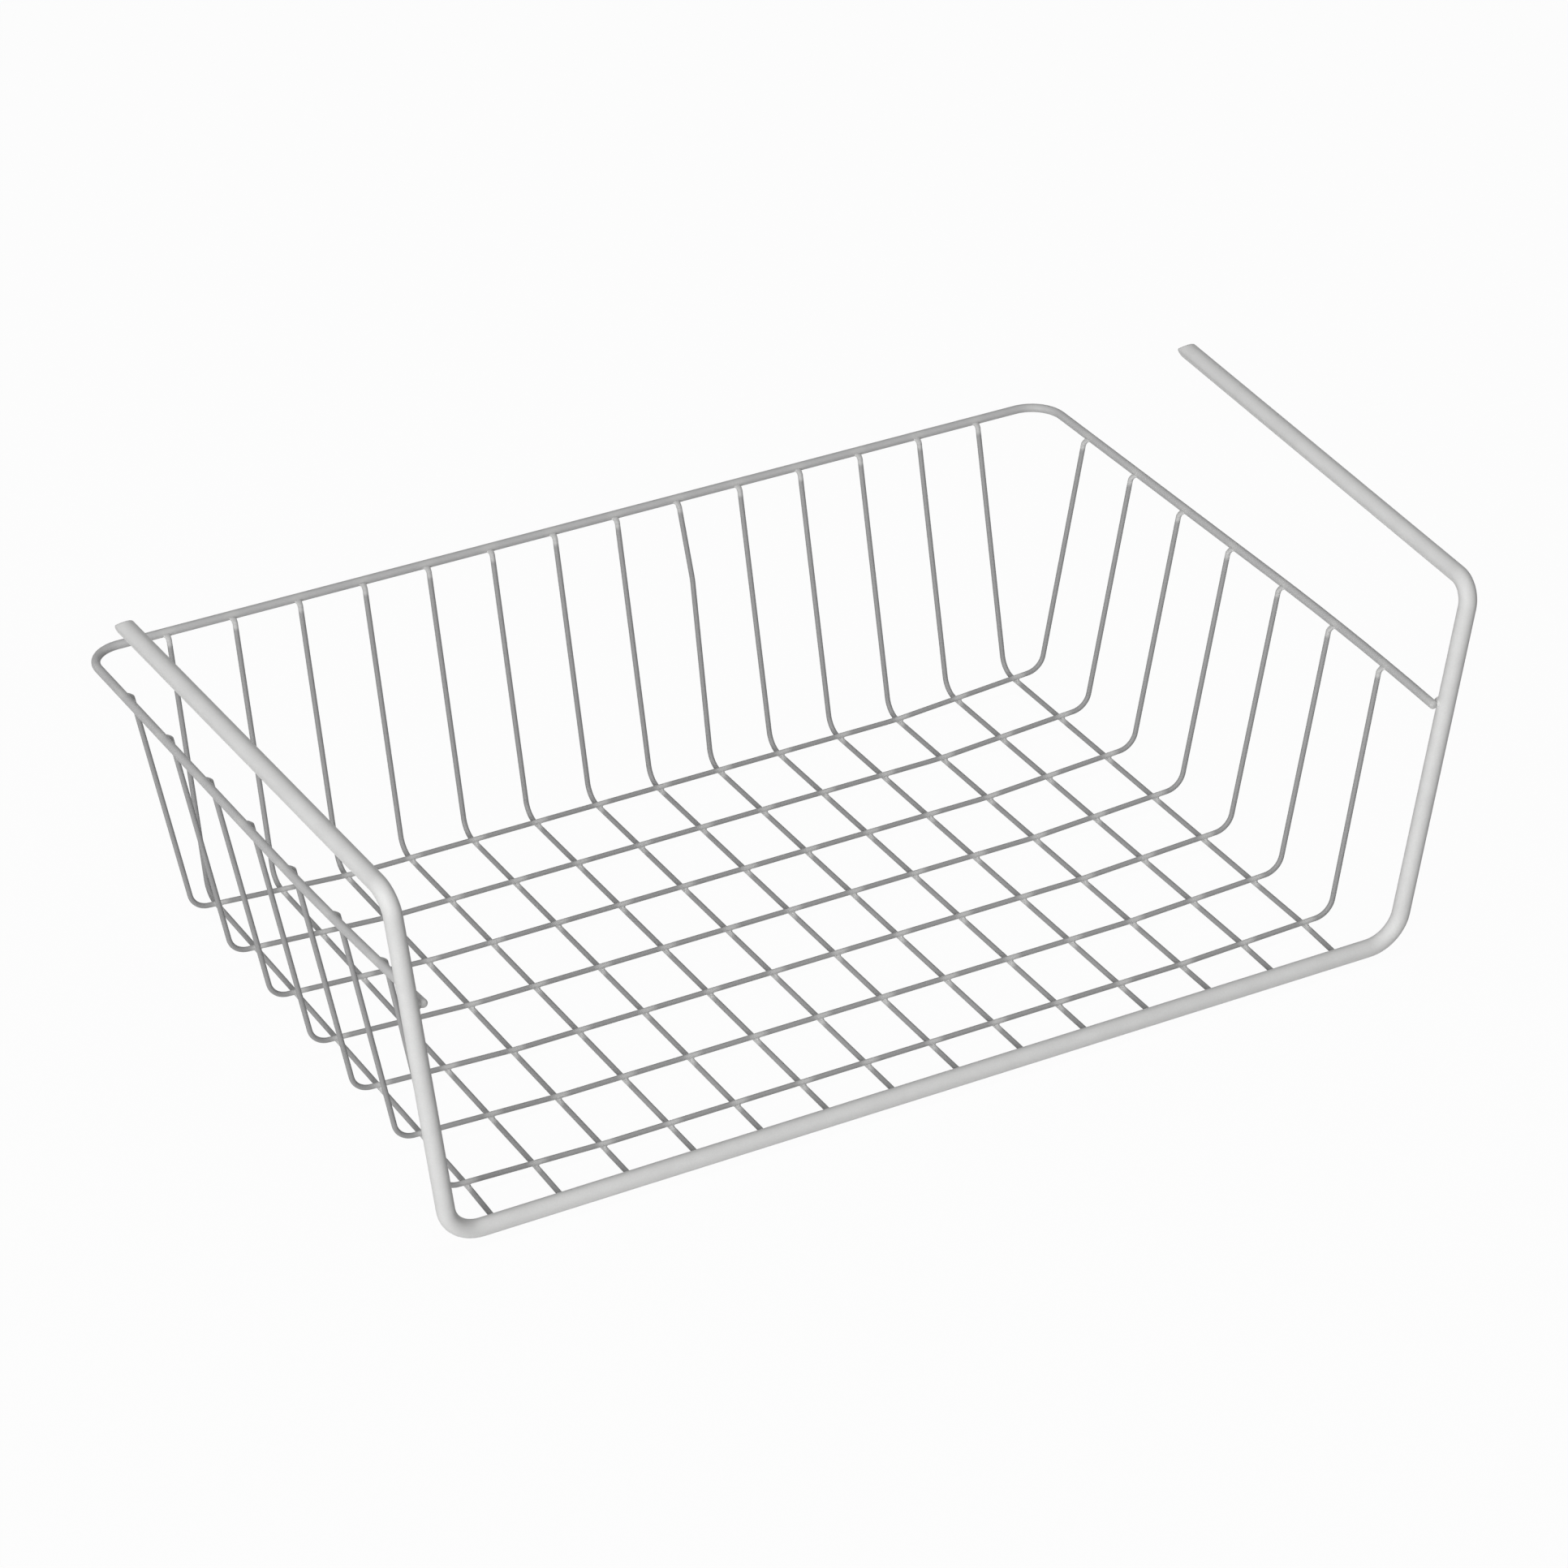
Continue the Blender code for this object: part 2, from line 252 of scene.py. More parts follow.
def bend_at(before, corner, after, radius):
    """Where a bend starts and ends, its centre, its axis and how far it turns."""
    back = (before - corner).normalized()
    ahead = (after - corner).normalized()
    turn = math.pi - back.angle(ahead)
    reach = radius * math.tan(turn / 2)
    centre = corner + (back + ahead).normalized() * radius / math.cos(turn / 2)
    start = corner + back * reach
    end = corner + ahead * reach
    axis = (start - centre).cross(end - centre).normalized()
    return start, end, centre, axis, turn


def bend_wire(name, corners, radii, gauge, sides):
    """A disc pushed along each run and spun round each bend."""
    corners = [corner + STAND for corner in corners]
    bpy.ops.object.select_all(action="DESELECT")
    turn_to = (corners[1] - corners[0]).to_track_quat("Z", "Y").to_euler()
    bpy.ops.mesh.primitive_circle_add(vertices=sides, radius=gauge / 2, fill_type="NGON",
                                      location=corners[0], rotation=turn_to)
    wire = bpy.context.object
    wire.name = wire.data.name = name
    bpy.ops.object.mode_set(mode="EDIT")
    bpy.ops.mesh.select_all(action="SELECT")
    here = corners[0]
    for before, corner, after, radius in zip(corners, corners[1:], corners[2:], radii):
        start, end, centre, axis, turn = bend_at(before, corner, after, radius)
        bpy.ops.mesh.extrude_region_move(TRANSFORM_OT_translate={"value": start - here})
        finest = 2 * math.acos(1 - BEND_TOLERANCE / radius)
        steps = max(FEWEST_BEND_STEPS, math.ceil(turn / min(finest, BEND_STEP)))
        bpy.ops.mesh.spin(steps=steps, angle=-turn, center=centre, axis=axis)
        here = end
    bpy.ops.mesh.extrude_region_move(TRANSFORM_OT_translate={"value": corners[-1] - here})
    bpy.ops.object.mode_set(mode="OBJECT")
    bpy.ops.object.transform_apply(location=True, rotation=True, scale=True)
    return wire


def edit_faces(piece, chosen):
    """Opens a piece for editing with only the chosen faces selected."""
    bpy.ops.object.mode_set(mode="EDIT")
    bpy.ops.mesh.select_mode(type="FACE")
    bpy.ops.mesh.select_all(action="DESELECT")
    bpy.ops.object.mode_set(mode="OBJECT")
    for face in piece.data.polygons:
        face.select = chosen(face)
    bpy.ops.object.mode_set(mode="EDIT")


def round_ends(wire, end_round):
    """Rounds the cut ends, which are the faces with the most corners."""
    most = max(len(face.vertices) for face in wire.data.polygons)
    edit_faces(wire, lambda face: len(face.vertices) > most / 2)
    bpy.ops.mesh.bevel(offset=end_round, segments=END_ROUND_STEPS, affect="EDGES")
    bpy.ops.mesh.select_all(action="SELECT")
    bpy.ops.mesh.remove_doubles(threshold=MERGE_DISTANCE)
    bpy.ops.mesh.normals_make_consistent(inside=False)
    bpy.ops.object.mode_set(mode="OBJECT")
    bpy.ops.object.shade_smooth()
    return wire


def cut_off(wire, place, normals, reach=math.inf):
    """Cuts a wire at a place, once for each normal, and takes away what lies beyond. Only
    faces whose middles are within reach of the place are cut."""
    for normal in normals:
        edit_faces(wire, lambda face: (face.center - place - STAND).length < reach)
        bpy.ops.mesh.bisect(plane_co=place + STAND, plane_no=normal, use_fill=True,
                            clear_outer=True)
        bpy.ops.object.mode_set(mode="OBJECT")
    return wire


def pinch_cut(wire):
    """Cuts both arms to a blunt edge that lies across the arm, as cutters leave it."""
    return cut_off(wire, Vector((TIP_HALF_WIDTH, TIP_BACK, TIP_HEIGHT)),
                   [Vector((0.0, math.cos(PINCH_UPPER), math.sin(PINCH_UPPER))),
                    Vector((0.0, math.cos(PINCH_LOWER), -math.sin(PINCH_LOWER)))])


def slant_cut(wire, across):
    """Cuts a cross wire's front end on a slant, flush under the front bar."""
    return cut_off(wire, Vector((across, CROSS_FRONT_INSET, GRID_WIRE / 2)),
                   [Vector((0.0, -math.sin(CROSS_CUT), -math.cos(CROSS_CUT)))])


def slope_top(wire, end, leg, out):
    """Cuts a leg's top end so that it slopes down from the rim, which lies outwards."""
    normal = leg * math.cos(LEG_CUT) - out * math.sin(LEG_CUT)
    return cut_off(wire, end + out * GRID_WIRE / 2, [normal], LEG_CUT_REACH)


def dress(piece, material, node=None):
    """Gives a piece its coat, its body and the solid that it stands for."""
    piece.data.materials.clear()
    piece.data.materials.append(material)
    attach(piece, "root")
    if node:
        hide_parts(node)
    return piece


def side_slope(back):
    """How steeply the floor climbs outside its flat middle, at a place behind the bar."""
    share = (back - FIRST_LONG_INSET) / (BACK_FOOT - FIRST_LONG_INSET)
    rise = SIDE_RISE_AT_FRONT + share * (SIDE_RISE_AT_BACK - SIDE_RISE_AT_FRONT)
    return rise / (FLOOR_HALF_SPAN - FLAT_FLOOR_HALF)


def side_rise(across, back):
    """How far the floor has lifted at a place across and back from the front bar."""
    return side_slope(back) * max(0.0, abs(across) - FLAT_FLOOR_HALF)


def upright_at(height):
    """The right upright's axis at a height, as places across and back."""
    share = (height - BAR_LIFT) / HEAD_RISE
    return FOOT_HALF_WIDTH + share * HEAD_OUTSET, -share * HEAD_FORWARD


def mirrored(half):
    """The left half's corners from the right half's, then the right half's back to its start."""
    return [Vector((-corner.x, corner.y, corner.z)) for corner in half] + half[::-1]


def make_frame_wire(material):
    half = [Vector((TIP_HALF_WIDTH, TIP_BACK, TIP_HEIGHT)),
            Vector((HEAD_HALF_WIDTH, -HEAD_FORWARD, HEAD_HEIGHT)),
            Vector((FOOT_HALF_WIDTH, 0.0, BAR_LIFT))]
    radii = [HEAD_BEND_RADIUS, FOOT_BEND_RADIUS, FOOT_BEND_RADIUS, HEAD_BEND_RADIUS]
    wire = bend_wire("frame_wire_coated", mirrored(half), radii, FRAME_WIRE, FRAME_SIDES)
    round_ends(pinch_cut(wire), FRAME_END_ROUND)
    return dress(wire, material, "frame_wire")


def rim_end():
    """Where the rim's right end is welded inside the upright, as places across and back."""
    across, back = upright_at(RIM_HEIGHT)
    upright_lean = math.atan2(HEAD_OUTSET, HEAD_RISE)
    return across - ((FRAME_WIRE + RIM_WIRE) / 2 + WELD_GAP) / math.cos(upright_lean), back


def rim_inset(back):
    """How far the rim has bowed inwards at a place behind the bar."""
    end_across, end_back = rim_end()
    turn = math.atan2(RIM_HALF_WIDTH - end_across, RIM_BOW_MIDDLE - end_back)
    bow_back = RIM_BOW_MIDDLE + RIM_BOW_RADIUS * math.tan(turn / 2)
    ahead = max(0.0, bow_back - back)
    return RIM_BOW_RADIUS - math.sqrt(RIM_BOW_RADIUS ** 2 - ahead ** 2)


def side_lean(back):
    """How steeply a side leg leans out, so that it meets the bowed rim."""
    return SIDE_SLOPE - rim_inset(back) / RIM_HEIGHT


def make_rim_wire(material):
    end_across, end_back = rim_end()
    bow = Vector((RIM_HALF_WIDTH, RIM_BOW_MIDDLE, RIM_HEIGHT))
    weld = Vector((end_across, end_back, RIM_HEIGHT))
    half = [weld + (weld - bow).normalized() * RIM_END_OVERHANG,
            bow,
            Vector((RIM_HALF_WIDTH, RIM_BACK, RIM_HEIGHT))]
    half_radii = [RIM_BOW_RADIUS, RIM_CORNER_RADIUS]
    radii = half_radii + half_radii[::-1]
    wire = bend_wire("rim_wire_coated", mirrored(half), radii, RIM_WIRE, RIM_SIDES)
    return dress(round_ends(wire, RIM_END_ROUND), material, "rim_wire")


def cross_wire_corners(number, across):
    """Corners of a cross wire from under the front bar, along the floor and up the back."""
    rise = side_rise(across, BACK_FOOT)
    corners = [Vector((across, CROSS_FRONT_INSET, 0.0)),
               Vector((across, BACK_FOOT + BACK_SLOPE * rise, rise))]
    radii = [GRID_BEND_RADIUS]
    if rise > 0:
        corners.insert(1, Vector((across, FIRST_LONG_INSET, side_rise(across, FIRST_LONG_INSET))))
        radii.insert(0, SOFT_BEND_RADIUS)
    if number == KNOCKED_INDEX:
        knock_back = BACK_FOOT + BACK_SLOPE * KNOCK_HEIGHT
        corners.append(Vector((across + KNOCK_OFFSET, knock_back, KNOCK_HEIGHT)))
        radii.append(KNOCK_BEND_RADIUS)
    corners.append(Vector((across, BACK_FOOT + BACK_SLOPE * WIRE_TOP, WIRE_TOP)))
    return corners, radii


def back_leg():
    """Which way a back leg runs up, and which way the rim lies from it."""
    return (Vector((0.0, math.sin(BACK_LEAN), math.cos(BACK_LEAN))),
            Vector((0.0, math.cos(BACK_LEAN), -math.sin(BACK_LEAN))))


def copied(source, name, shift):
    """A copy of a piece with its own mesh, moved by a shift."""
    piece = source.copy()
    piece.data = source.data.copy()
    piece.name = piece.data.name = name
    bpy.context.scene.collection.objects.link(piece)
    piece.data.transform(Matrix.Translation(shift))
    return piece


def make_cross_wires(material):
    """Cross wires side by side, those alike copied from the first of them."""
    made = {}
    for number in range(1, CROSS_COUNT + 1):
        across = (number - 1) * CROSS_PITCH - FLOOR_HALF_SPAN
        name = f"cross_wire_{number:02d}_coated"
        alike = (number == KNOCKED_INDEX, round(abs(side_rise(across, BACK_FOOT)) / MM, 3))
        if alike in made:
            first, first_across = made[alike]
            wire = copied(first, name, Vector((across - first_across, 0.0, 0.0)))
        else:
            corners, radii = cross_wire_corners(number, across)
            wire = slant_cut(bend_wire(name, corners, radii, GRID_WIRE, GRID_SIDES), across)
            slope_top(wire, corners[-1], *back_leg())
            round_ends(wire, GRID_END_ROUND)
            made[alike] = (wire, across)
    for number in range(1, CROSS_COUNT + 1):
        wire = bpy.data.objects[f"cross_wire_{number:02d}_coated"]
        dress(wire, material, f"cross_wire_{number:02d}")


def side_leg(side, back):
    """Which way a side leg runs up, and which way the rim lies from it."""
    lean = side_lean(back)
    return Vector((side * lean, 0.0, 1.0)).normalized(), Vector((side, 0.0, -lean)).normalized()


def long_wire_corners(back):
    """Corners of a long wire, up one side, over the floor and up the other side."""
    climb = side_slope(back)
    lean = side_lean(back)
    foot = SIDE_FOOT + lean * (LONG_LIFT - climb * FLAT_FLOOR_HALF)
    foot = foot / (1 - lean * climb)
    half = [Vector((SIDE_FOOT + lean * WIRE_TOP, back, WIRE_TOP)),
            Vector((foot, back, LONG_LIFT + climb * (foot - FLAT_FLOOR_HALF))),
            Vector((FLAT_FLOOR_HALF, back, LONG_LIFT))]
    return mirrored(half)


def long_wire_back(number):
    """How far behind the bar a long wire lies; the first is at the back."""
    return FIRST_LONG_INSET + (LONG_COUNT - number) * LONG_PITCH


def make_long_wires(material):
    radii = [GRID_BEND_RADIUS, SOFT_BEND_RADIUS, SOFT_BEND_RADIUS, GRID_BEND_RADIUS]
    for number in range(1, LONG_COUNT + 1):
        back = long_wire_back(number)
        corners = long_wire_corners(back)
        wire = bend_wire(f"long_wire_{number}_coated", corners, radii, GRID_WIRE, GRID_SIDES)
        slope_top(wire, corners[0], *side_leg(-1, back))
        slope_top(wire, corners[-1], *side_leg(1, back))
        dress(round_ends(wire, GRID_END_ROUND), material, f"long_wire_{number}")


def chord(radius, depth):
    """Half the width of a round wire at a depth below its surface."""
    return math.sqrt(radius ** 2 - (radius - depth) ** 2)


def push_rings(name, sides, rings):
    """A round body pushed up ring by ring, each with its height, how far its middle lies
    along Y and its half widths along X and Y. It starts as a round disc."""
    bpy.ops.object.select_all(action="DESELECT")
    height, middle, wide, _ = rings[0]
    long = wide
    here = Vector((0.0, middle, height))
    bpy.ops.mesh.primitive_circle_add(vertices=sides, radius=wide, fill_type="NGON", location=here)
    body = bpy.context.object
    body.name = body.data.name = name
    bpy.ops.object.mode_set(mode="EDIT")
    bpy.ops.mesh.select_all(action="SELECT")
    for height, middle, across, along in rings:
        there = Vector((0.0, middle, height))
        if there != here:
            bpy.ops.mesh.extrude_region_move(TRANSFORM_OT_translate={"value": there - here})
        bpy.ops.transform.resize(value=(across / wide, along / long, 1.0), center_override=there)
        wide, long, here = across, along, there
    bpy.ops.mesh.select_all(action="SELECT")
    bpy.ops.mesh.normals_make_consistent(inside=False)
    bpy.ops.object.mode_set(mode="OBJECT")
    bpy.ops.object.transform_apply(location=True, rotation=True, scale=True)
    bpy.ops.object.shade_smooth()
    return body


def model_bead(name, lower, upper):
    """The coat that has run into the crossing of two welded wires. Rings are pushed up
    from inside the lower wire, which runs along Y, drawn in at the weld and spread
    along the upper wire, which runs along X."""
    shallow = BEAD_SHALLOW_SHARE * GRID_WIRE / 2
    deep = BEAD_DEEP_SHARE * GRID_WIRE / 2
    half_gap = WELD_GAP / 2
    spread = BEAD_SPREAD * math.sqrt(lower * upper)
    waist = BEAD_WAIST * math.sqrt(lower * upper)
    rings = [(-half_gap - deep, 0.0, BEAD_TUCK_SHARE * chord(lower, deep), waist),
             (-half_gap - shallow, 0.0, chord(lower, shallow), spread),
             (0.0, 0.0, waist, waist),
             (half_gap + shallow, 0.0, spread, chord(upper, shallow)),
             (half_gap + deep, 0.0, waist, BEAD_TUCK_SHARE * chord(upper, deep))]
    return push_rings(name, BEAD_SIDES, rings)


def model_nub(name, wire, overhang, shares):
    """The coat round the end of a wire that is welded to another. The wire runs along Y
    to its end, which lies past the weld by an overhang; the other wire lies above."""
    to_axis = wire + WELD_GAP / 2
    rings = []
    for place, aside, away, toward in shares:
        middle = to_axis - (toward - away) / 2 * wire
        rings.append((overhang + place * wire, middle, aside * wire, (toward + away) / 2 * wire))
    nub = push_rings(name, NUB_SIDES, rings)
    nub.data.transform(Matrix.Rotation(math.radians(-90), 4, "X"))
    return nub


def add_web(nub, wire):
    """Joins the fillet onto the other wire to a nub."""
    rings = [(WELD_GAP / 2 + place * wire, middle * wire, across * wire, along * wire)
             for place, across, middle, along in WEB_RINGS]
    push_rings("web", NUB_SIDES, rings)
    nub.select_set(True)
    bpy.context.view_layer.objects.active = nub
    bpy.ops.object.join()
    return nub


def set_beads(name, bead, places, material):
    """Copies of a bead, each with its own mesh, turned to its crossing and joined."""
    copies = []
    for number, (place, along_upper, along_lower) in enumerate(places):
        piece = copied(bead, f"{name}_{number}", Vector())
        out = along_upper.cross(along_lower).normalized()
        side = along_lower.cross(out).normalized()
        turn = Matrix((side, along_lower.normalized(), out)).transposed().to_4x4()
        piece.data.transform(Matrix.Translation(place + STAND) @ turn)
        copies.append(piece)
    bpy.ops.object.select_all(action="DESELECT")
    for piece in copies:
        piece.select_set(True)
    bpy.context.view_layer.objects.active = copies[0]
    bpy.ops.object.join()
    beads = bpy.context.object
    beads.name = beads.data.name = name
    return dress(beads, material)


def make_floor_beads(material):
    """Where each long wire lies on the cross wires."""
    bead = model_bead("floor_bead", GRID_WIRE / 2, GRID_WIRE / 2)
    for number in range(1, LONG_COUNT + 1):
        back = long_wire_back(number)
        places = []
        for cross in range(CROSS_COUNT):
            across = cross * CROSS_PITCH - FLOOR_HALF_SPAN
            climb = side_slope(back) if abs(across) > FLAT_FLOOR_HALF else 0.0
            climb = math.copysign(climb, across)
            along_upper = Vector((1.0, 0.0, climb))
            place = Vector((across, back, side_rise(across, back) + LONG_LIFT / 2))
            places.append((place, along_upper, Vector((0.0, 1.0, 0.0))))
        set_beads(f"weld_beads_long_{number}", bead, places, material)
    bpy.data.objects.remove(bead)


def make_bar_beads(material):
    """Where the front bar lies on the cross wires."""
    bead = model_bead("bar_bead", GRID_WIRE / 2, GRID_WIRE / 2)
    lift = (GRID_WIRE + WELD_GAP) / 2
    places = [(Vector((cross * CROSS_PITCH - FLOOR_HALF_SPAN, BAR_BEAD_BACK, lift)),
               Vector((1.0, 0.0, 0.0)), Vector((0.0, 1.0, 0.0))) for cross in range(CROSS_COUNT)]
    set_beads("weld_beads_bar", bead, places, material)
    bpy.data.objects.remove(bead)


def make_rim_nubs(material):
    """Where the legs of the back and sides end inside the rim."""
    nub = model_nub("rim_nub", GRID_WIRE / 2, WIRE_TOP - RIM_HEIGHT, SLOPED_NUB_RINGS)
    nub = add_web(nub, GRID_WIRE / 2)
    to_gap = (GRID_WIRE + WELD_GAP) / 2
    leg, out = back_leg()
    foot = Vector((0.0, BACK_FOOT + BACK_SLOPE * RIM_HEIGHT, RIM_HEIGHT)) + out * to_gap
    places = [(foot + Vector((cross * CROSS_PITCH - FLOOR_HALF_SPAN, 0.0, 0.0)),
               Vector((-1.0, 0.0, 0.0)), leg) for cross in range(CROSS_COUNT)]
    set_beads("weld_nubs_rim_back", nub, places, material)
    for side, name in ((-1, "left"), (1, "right")):
        places = []
        for number in range(1, LONG_COUNT + 1):
            back = long_wire_back(number)
            leg, out = side_leg(side, back)
            across = side * (SIDE_FOOT + side_lean(back) * RIM_HEIGHT)
            foot = Vector((across, back, RIM_HEIGHT))
            places.append((foot + out * to_gap, Vector((0.0, side, 0.0)), leg))
        set_beads(f"weld_nubs_rim_{name}", nub, places, material)
    bpy.data.objects.remove(nub)


def make_upright_nubs(material):
    """Where the rim's ends are welded inside the uprights."""
    nub = model_nub("upright_nub", RIM_WIRE / 2, RIM_END_OVERHANG, SQUARE_NUB_RINGS)
    across, back = rim_end()
    lean = math.atan2(HEAD_OUTSET, HEAD_RISE)
    out = (RIM_WIRE + WELD_GAP) / 2
    places = []
    for side in (-1, 1):
        upright = Vector((side * math.sin(lean), 0.0, math.cos(lean)))
        toward = Vector((side * math.cos(lean), 0.0, -math.sin(lean)))
        place = Vector((side * across, back, RIM_HEIGHT)) + toward * out
        places.append((place, upright * -side, Vector((0.0, -1.0, 0.0))))
    set_beads("weld_nubs_uprights", nub, places, material)
    bpy.data.objects.remove(nub)


# Materials

def linear(hex_code):
    """An sRGB hex value as a linear colour."""
    shares = [int(hex_code[place:place + 2], 16) / 255 for place in (0, 2, 4)]
    return [share / 12.92 if share <= 0.04045 else ((share + 0.055) / 1.055) ** 2.4
            for share in shares] + [1.0]


def add_node(tree, kind, settings=None, links=None):
    """A node with its settings and what feeds it."""
    node = tree.nodes.new(kind)
    for key, value in (settings or {}).items():
        if isinstance(key, int) or key in node.inputs:
            node.inputs[key].default_value = value
        else:
            setattr(node, key, value)
    for key, source in (links or {}).items():
        tree.links.new(source, node.inputs[key])
    return node


def nearest(tree, place, start, pitch):
    """How far a place is from the nearest of many lines at one pitch."""
    shift = add_node(tree, "ShaderNodeMath", {"operation": "SUBTRACT", 1: start}, {0: place})
    return add_node(tree, "ShaderNodeMath", {"operation": "PINGPONG", 1: pitch / 2},
                    {0: shift.outputs[0]}).outputs[0]


def fading(tree, place, full, none):
    """One where a place is at full or beyond it, nothing at none, soft between."""
    return add_node(tree, "ShaderNodeMapRange",
                    {"interpolation_type": "SMOOTHSTEP", "From Min": none, "From Max": full},
                    {"Value": place}).outputs["Result"]


def joined(tree, operation, *shares):
    """Several shares as one: MULTIPLY keeps what all of them have, MAXIMUM what any has."""
    whole = shares[0]
    for share in shares[1:]:
        whole = add_node(tree, "ShaderNodeMath", {"operation": operation},
                         {0: whole, 1: share}).outputs[0]
    return whole


def from_wires(tree, x, y):
    """How far a place is from the nearest cross wire and from the nearest long wire."""
    return (nearest(tree, x, CROSS_PITCH / 2, CROSS_PITCH),
            nearest(tree, y, FIRST_LONG_INSET + STAND.y, LONG_PITCH))


def grid_painted_light(tree, x, y, z):
    """Where the grid is painted lighter, as painted light: round each crossing, under the bar, at
    the rim.
    """
    to_cross, to_long = from_wires(tree, x, y)
    away = add_node(tree, "ShaderNodeVectorMath", {"operation": "LENGTH"}, {
        0: add_node(tree, "ShaderNodeCombineXYZ", None, {0: to_cross, 1: to_long}).outputs[0]})
    floor = joined(tree, "MULTIPLY", fading(tree, away.outputs["Value"], PAINTED_LIGHT_CORE, PAINTED_LIGHT_REACH),
                   fading(tree, z, FLOOR_PAINTED_LIGHT_TOP, FLOOR_PAINTED_LIGHT_TOP + PAINTED_LIGHT_REACH))
    rim = fading(tree, z, RIM_HEIGHT - RIM_WIRE / 2, RIM_HEIGHT - RIM_WIRE / 2 - RIM_PAINTED_LIGHT_REACH)
    bar = fading(tree, y, STAND.y + FRAME_WIRE / 2, STAND.y + FRAME_WIRE / 2 + PAINTED_LIGHT_CORE)
    return joined(tree, "MAXIMUM", floor, rim, bar)


def rim_painted_light(tree, x, y, z):
    """Where the rim is painted lighter, as painted light: at the legs' tops and at the uprights.
    """
    to_cross, to_long = from_wires(tree, x, y)
    behind = fading(tree, y, STAND.y + RIM_BACK - RIM_WIRE, STAND.y + RIM_BACK - 2 * RIM_WIRE)
    aside = add_node(tree, "ShaderNodeMath", {"operation": "SUBTRACT", 0: 1.0},
                     {1: behind}).outputs[0]
    back = joined(tree, "MULTIPLY", fading(tree, to_cross, PAINTED_LIGHT_CORE, PAINTED_LIGHT_REACH), behind)
    sides = joined(tree, "MULTIPLY", fading(tree, to_long, PAINTED_LIGHT_CORE, PAINTED_LIGHT_REACH), aside)
    front = fading(tree, y, STAND.y, STAND.y + PAINTED_LIGHT_REACH)
    return joined(tree, "MAXIMUM", back, sides, front)


def spread(tree, noise, low, high):
    """A noise spread between two values."""
    return add_node(tree, "ShaderNodeMapRange",
                    {"From Min": NOISE_LOW, "From Max": NOISE_HIGH, "To Min": low, "To Max": high},
                    {"Value": noise}).outputs["Result"]


def powder_coat(name, tone, painted_light_tone=None, painted_light=None):
    """Pale grey satin powder coat, sprayed and baked over steel wire. Its tone is darker on the
    thinner gauges as painted shade and lighter round the welds as painted light, and it has a fine
    grain and a faint orange peel."""
    material = bpy.data.materials.new(name)
    material.use_nodes = True
    tree = material.node_tree
    shader = tree.nodes["Principled BSDF"]
    shader.inputs["IOR"].default_value = COAT_IOR
    place = add_node(tree, "ShaderNodeTexCoord").outputs["Object"]
    cloud, grain, peel = (add_node(tree, "ShaderNodeTexNoise",
                                   {"Scale": 1 / size, "Detail": detail},
                                   {"Vector": place}).outputs[0]
                          for size, detail in ((CLOUD_SIZE, CLOUD_DETAIL),
                                               (GRAIN_SIZE, GRAIN_DETAIL),
                                               (PEEL_SIZE, PEEL_DETAIL)))
    cloudy = spread(tree, cloud, 1 - CLOUD_DEPTH, 1 + CLOUD_DEPTH)
    tinted = add_node(tree, "ShaderNodeVectorMath", {"operation": "SCALE", 0: linear(tone)[:3]},
                      {"Scale": cloudy})
    # The lighter painted light tone is mixed in where the mask is set.
    if painted_light:
        axes = add_node(tree, "ShaderNodeSeparateXYZ", None, {0: place})
        colour = add_node(tree, "ShaderNodeMix",
                          {"data_type": "RGBA", 6: linear(tone), 7: linear(painted_light_tone)},
                          {0: painted_light(tree, *axes.outputs)}).outputs[2]
        tree.links.new(colour, tinted.inputs[0])
    grainy = add_node(tree, "ShaderNodeVectorMath", {"operation": "SCALE"},
                      {0: tinted.outputs[0],
                       "Scale": spread(tree, grain, 1 - GRAIN_DEPTH, 1 + GRAIN_DEPTH)})
    tree.links.new(grainy.outputs[0], shader.inputs["Base Color"])
    rough = spread(tree, cloud, COAT_ROUGHNESS - ROUGHNESS_DEPTH, COAT_ROUGHNESS + ROUGHNESS_DEPTH)
    tree.links.new(rough, shader.inputs["Roughness"])
    relief = add_node(tree, "ShaderNodeBump", {"Strength": 1.0, "Distance": PEEL_DEPTH},
                      {"Height": peel}).outputs["Normal"]
    tree.links.new(relief, shader.inputs["Normal"])
    return material


# Stage, light and camera

def background_rays(tree):
    """One for the rays that show the background: those of the camera, and those that gloss
    or glass sends on."""
    path = add_node(tree, "ShaderNodeLightPath")
    return joined(tree, "MAXIMUM", *(path.outputs[f"Is {kind} Ray"]
                                     for kind in ("Camera", "Glossy", "Transmission")))


def matt_floor():
    """Matt pale studio paper, white where it is seen but for a little of its own shade,
    which keeps the shadow."""
    material = bpy.data.materials.new("matt_paper_floor")
    material.use_nodes = True
    tree = material.node_tree
    tree.nodes.clear()
    matt = add_node(tree, "ShaderNodeBsdfDiffuse", {"Color": linear(FLOOR_TONE)})
    white = add_node(tree, "ShaderNodeEmission", {"Color": WHITE, "Strength": 1.0})
    share = add_node(tree, "ShaderNodeMath", {"operation": "MULTIPLY", 1: FLOOR_WHITE_SHARE},
                     {0: background_rays(tree)})
    mixed = add_node(tree, "ShaderNodeMixShader", None,
                     {0: share.outputs[0], 1: matt.outputs[0], 2: white.outputs[0]})
    add_node(tree, "ShaderNodeOutputMaterial", None, {"Surface": mixed.outputs[0]})
    return material


def make_stage():
    bpy.ops.object.select_all(action="DESELECT")
    bpy.ops.mesh.primitive_plane_add(size=FLOOR_SPAN, location=(0.0, 0.0, -FLOOR_DROP))
    floor = bpy.context.object
    floor.name = "floor"
    floor.data.materials.append(matt_floor())


